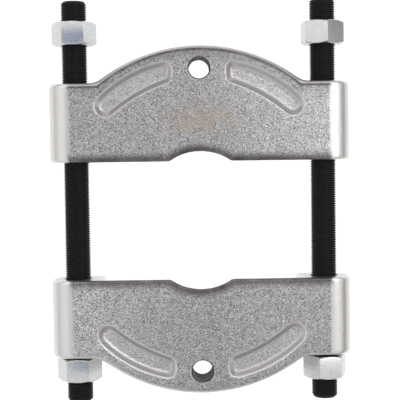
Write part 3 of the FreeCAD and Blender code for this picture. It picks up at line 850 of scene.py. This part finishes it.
def half_mesh(node, sizes, hole):
    """A half-plate as a forging: its design softened, its skin pitted, then drilled and tapped."""
    low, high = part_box(node)
    near, far = ear_faces(node)
    mounts = {mount["name"]: mount for mount in frame["record"]["mounts"]}
    mount = mounts[node.replace("half", "puller_hole")]
    hole_x, hole_y, _ = mount["pos_m"]
    web_z = high.z - mount["dims"]["length_mm"] * MM
    studs = [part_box(stud) for stud in STUDS]
    bores = [((a.x + b.x) / 2, (a.z + b.z) / 2) for a, b in studs]
    plug = sizes.bore_radius + PLUG_SPARE

    work = bmesh.new()
    work.from_mesh(frame["nodes"][node].data)
    bmesh.ops.remove_doubles(work, verts=work.verts, dist=1e-6)
    blank = bpy.data.meshes.new(node + "_forging")
    work.to_mesh(blank)
    work.free()
    plugs = [bar_along("y", bore, near, far, [(plug, 0)]) for bore in bores]
    plugs.append(bar_along("z", (hole_x, hole_y), web_z, high.z, [(plug, 0)]))
    filler = weld(mesh_from("filler", *joined(plugs)))
    work = bmesh.new()
    work.from_mesh(blank)
    work.from_mesh(filler)
    work.to_mesh(blank)
    work.free()

    piece = temporary(blank)
    soft = applied(piece, "REMESH", mode="VOXEL", voxel_size=sizes.voxel, adaptivity=0.0)
    relax(soft, sizes.softening)
    pit(soft, sizes.skin_depth, low, high)

    flare = [(sizes.bore_radius + DRILL_PAST, 0), (sizes.bore_radius, DRILL_PAST + DRILL_STEP)]
    cutters = [bar_along("y", bore, near - DRILL_PAST, far + DRILL_PAST, flare, sides=72)
               for bore in bores]
    cutters.append(tap_along_z((hole_x, hole_y), web_z, high.z, hole))
    drill = temporary(weld(mesh_from("drill", *joined(cutters))))
    piece.data = soft
    drilled = applied(piece, "BOOLEAN", operation="DIFFERENCE", solver="MANIFOLD", object=drill)
    for old in (piece, drill):
        bpy.data.objects.remove(old)
    mark(drilled, node, sizes, hole, bores, (hole_x, hole_y))
    return drilled


def mark(drilled, node, sizes, hole, bores, hole_place):
    """Keep on the mesh where it is flat, at a rim, on a recess's wall, bent or in a hole."""
    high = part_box(node)[1]
    points, normals = points_of(drilled), normals_of(drilled)
    facing = np.clip((normals[:, 2] - FLAT_NORMAL) / FLAT_FADE, 0.0, 1.0)
    upward = np.clip(normals[:, 2] * 2.0, 0.0, 1.0)
    inside = high.x - sizes.end_band - np.abs(points[:, 0])
    raised = np.where(points[:, 2] > high.z - PANEL_EDGE, 1.0, RECESS_FLATNESS)
    store(drilled, "flatness", facing * raised * np.clip(inside / sizes.voxel + 0.5, 0.0, 1.0))
    outer, inner = insets(points, node, sizes)
    amid_ends = np.clip(inside / (2 * MM) + 1.0, 0.0, 1.0)
    store(drilled, "rim", upward * amid_ends * rim_share(outer, inner, node, sizes))
    from_hole = np.hypot(points[:, 0] - hole_place[0], points[:, 1] - hole_place[1])
    amid = ((np.minimum(outer, inner) > WALL_INSET) & (from_hole > WALL_FROM_HOLE)
            & (inside > WALL_FROM_ENDS) & (points[:, 2] > high.z - WALL_DEPTH))
    below = np.clip((high.z - WALL_TOP - points[:, 2]) / WALL_FADE, 0.0, 1.0)
    store(drilled, "wall", below * (1.0 - facing) * amid)
    store(drilled, "bend", bends(drilled, sizes.sharpest))
    in_hole = from_hole < hole.minor_radius + hole.depth * hole.pitch + HOLLOW_SPARE / 2
    for bore_x, bore_z in bores:
        away = np.hypot(points[:, 0] - bore_x, points[:, 2] - bore_z)
        in_hole = in_hole | (away < sizes.bore_radius + HOLLOW_SPARE)
    store(drilled, "hollow", in_hole)


def pit(mesh, depth, low, high):
    """Press forging pits and slow waves into the skin, never outwards past the design."""
    points, normals = points_of(mesh), normals_of(mesh)
    waves = value_noise(points, 9 * MM, 41) * 0.45 + value_noise(points, 3.4 * MM, 42) * 0.30
    pits = np.minimum(value_noise(points, 1.9 * MM, 43), 0.0) * 0.6
    inward = depth * (0.75 - waves - pits)
    points -= normals * np.maximum(inward, 0.02 * MM)[:, None]
    points = np.clip(points, np.array(low), np.array(high))
    mesh.vertices.foreach_set("co", points.astype(np.float32).ravel())
    mesh.update()


# ---------------------------------------------------------------- operators


NUT_TURNS = {
    "rear_left_nut": math.radians(1.5),
    "rear_right_nut": math.radians(-24.0),
    "front_left_nut": math.radians(-1.0),
    "front_right_nut": math.radians(11.0),
}


class SEPARATOR_OT_halves(bpy.types.Operator):
    """Make the two forged half-plates, drilled for the studs and tapped for a puller"""

    bl_idname = "separator.halves"
    bl_label = "Half-plates"

    def execute(self, context):
        scene = context.scene
        for node in HALVES:
            rear = node == "rear_half"
            finish = forged_finish(scene.separator_finishes, node + "_forged_steel",
                                   lighter_end=1.0 if rear else -1.0, blotched=rear)
            mesh = half_mesh(node, scene.separator_forging, scene.separator_puller_hole)
            add_piece(mesh, node + "_forging", node, finish, HALF_SMOOTH)
        return {"FINISHED"}


class SEPARATOR_OT_studs(bpy.types.Operator):
    """Make the two threaded studs"""

    bl_idname = "separator.studs"
    bl_label = "Studs"

    def execute(self, context):
        scene = context.scene
        finish = black_finish(scene.separator_finishes)
        for node in STUDS:
            mesh = stud_mesh(node, scene.separator_thread)
            add_piece(mesh, node + "_thread", node, finish, STUD_SMOOTH)
        return {"FINISHED"}


class SEPARATOR_OT_nuts(bpy.types.Operator):
    """Make the four hexagon nuts"""

    bl_idname = "separator.nuts"
    bl_label = "Nuts"

    def execute(self, context):
        scene = context.scene
        finish = zinc_finish(scene.separator_finishes)
        for node, turn in NUT_TURNS.items():
            mesh = nut_mesh(node, turn, scene.separator_thread, scene.separator_nuts)
            add_piece(mesh, node + "_hexagon", node, finish, NUT_SMOOTH)
        return {"FINISHED"}


def aim(piece, target, up=(0.0, 1.0, 0.0)):
    """Turn a lamp or camera to look at a point, with its top towards up."""
    back = (piece.location - Vector(target)).normalized()
    right = Vector(up).cross(back).normalized()
    piece.rotation_euler = Matrix((right, back.cross(right), back)).transposed().to_euler()


def add_lamp(name, place, target, size, power):
    light = bpy.data.lights.new(name, "AREA")
    light.shape = "RECTANGLE"
    light.size, light.size_y = size
    light.energy = power
    lamp = bpy.data.objects.new(name, light)
    lamp.location = place
    bpy.context.scene.collection.objects.link(lamp)
    aim(lamp, target)


class SEPARATOR_OT_stage(bpy.types.Operator):
    """Lay the pale floor, light the room and set the camera"""

    bl_idname = "separator.stage"
    bl_label = "Stage"

    def execute(self, context):
        settings = context.scene.separator_stage
        low, high = (Vector(corner) for corner in CAD_BOUNDS)
        self.lay_floor(settings, low)
        self.light(settings)
        self.set_camera(settings, low, high)
        return {"FINISHED"}

    @staticmethod
    def lay_floor(settings, low):
        """A large square floor just under the object, with an oval lit patch that fades out."""
        corners = [(x * FLOOR_REACH, y * FLOOR_REACH, low.z - FLOOR_GAP)
                   for x, y in ((-1, -1), (1, -1), (1, 1), (-1, 1))]
        mesh = mesh_from("floor", corners, np.array([[0, 1, 2, 3]]))
        floor = bpy.data.objects.new("floor", mesh)
        bpy.context.scene.collection.objects.link(floor)
        sheet = Sheet(bpy.data.materials.new("floor"))
        centred = sheet.vector("ADD", sheet.place(), (settings.lit_shift, 0, 0))
        away = sheet.vector("LENGTH", sheet.vector("MULTIPLY", centred, LIT_OVAL))
        colour = sheet.blend(sheet.ramp(away, (LIT_INNER, 0.0), (LIT_OUTER, 1.0)),
                             solid(settings.floor), solid(settings.far_floor))
        matt = sheet.blend(1.0, colour, solid((settings.matt,) * 3), kind="MULTIPLY")
        mesh.materials.append(sheet.finish(Base_Color=matt, Roughness=0.9, Emission_Color=colour,
                                           Emission_Strength=settings.glow))

    @staticmethod
    def light(settings):
        """A pale room with a dim patch overhead, and one soft lamp.

        Below the horizon it dims to the rear and to the right; above, it brightens to the rear.
        """
        sheet = Sheet(bpy.data.worlds.new("studio"))
        bpy.context.scene.world = sheet.owner
        way = sheet.node("ShaderNodeTexCoord", output="Generated")
        height = sheet.vector("DOT_PRODUCT", way, (0, 0, 1))
        rearward = sheet.vector("DOT_PRODUCT", way, (0, 1, 0)) * 0.5 + 0.5
        rightward = sheet.vector("DOT_PRODUCT", way, (1, 0, 0)) * 0.5 + 0.5
        left = sheet.ramp(rightward, (0.40, 1.0), (0.65, 0.50))
        low = sheet.ramp(rearward, (0.30, 0.70), (0.50, 0.75), (0.85, 0.35))
        low = sheet.blend(1.0, low, left, kind="MULTIPLY")
        high = sheet.ramp(rearward, (0.15, 0.75), (0.50, 1.0), (0.90, 1.15))
        grey = sheet.blend(sheet.ramp(height, (0.25, 0.0), (0.50, 1.0)), low, high)
        room = sheet.blend(1.0, grey, solid(settings.walls), kind="MULTIPLY")
        colour = sheet.blend(sheet.ramp(height, (0.958, 0.0), (0.986, 1.0)), room,
                             solid(settings.overhead))
        light = sheet.node("ShaderNodeBackground", {}, {"Color": colour, "Strength": settings.sky})
        sheet.node("ShaderNodeOutputWorld", inputs={"Surface": light})
        add_lamp("overhead", LAMP_PLACE, LAMP_TARGET, LAMP_SIZE, settings.key)

    @staticmethod
    def set_camera(settings, low, high):
        camera = bpy.data.cameras.new("camera")
        camera.lens = settings.lens
        camera.sensor_width = 36.0
        camera.clip_start = 0.01
        eye = bpy.data.objects.new("camera", camera)
        bpy.context.scene.collection.objects.link(eye)
        middle = (low + high) / 2
        target = middle + CAMERA_SHIFT
        eye.location = target + CAMERA_PLACE
        aim(eye, target, (math.sin(settings.roll), math.cos(settings.roll), 0.0))
        bpy.context.scene.camera = eye
        bpy.context.scene.view_settings.view_transform = "Standard"


class SEPARATOR_PT_panel(bpy.types.Panel):
    """Lists the pieces in the 3D view's sidebar"""

    bl_label = "Bearing separator"
    bl_idname = "SEPARATOR_PT_panel"
    bl_space_type = "VIEW_3D"
    bl_region_type = "UI"
    bl_category = "Separator"

    def draw(self, context):
        for operator in OPERATORS:
            self.layout.operator(operator.bl_idname)


GROUPS = {
    "separator_thread": ThreadSizes,
    "separator_nuts": NutSizes,
    "separator_forging": ForgingSizes,
    "separator_puller_hole": PullerHoleSizes,
    "separator_finishes": Finishes,
    "separator_stage": StageSettings,
}
OPERATORS = (SEPARATOR_OT_stage, SEPARATOR_OT_halves, SEPARATOR_OT_studs, SEPARATOR_OT_nuts)
CLASSES = (*GROUPS.values(), *OPERATORS, SEPARATOR_PT_panel)


def register():
    for made in CLASSES:
        bpy.utils.register_class(made)
    for name, group in GROUPS.items():
        setattr(bpy.types.Scene, name, bpy.props.PointerProperty(type=group))


def unregister():
    for name in GROUPS:
        delattr(bpy.types.Scene, name)
    for made in reversed(CLASSES):
        bpy.utils.unregister_class(made)


def main():
    register()
    bpy.ops.separator.stage()
    bpy.ops.separator.halves()
    bpy.ops.separator.studs()
    bpy.ops.separator.nuts()


if __name__ == "__main__":
    main()
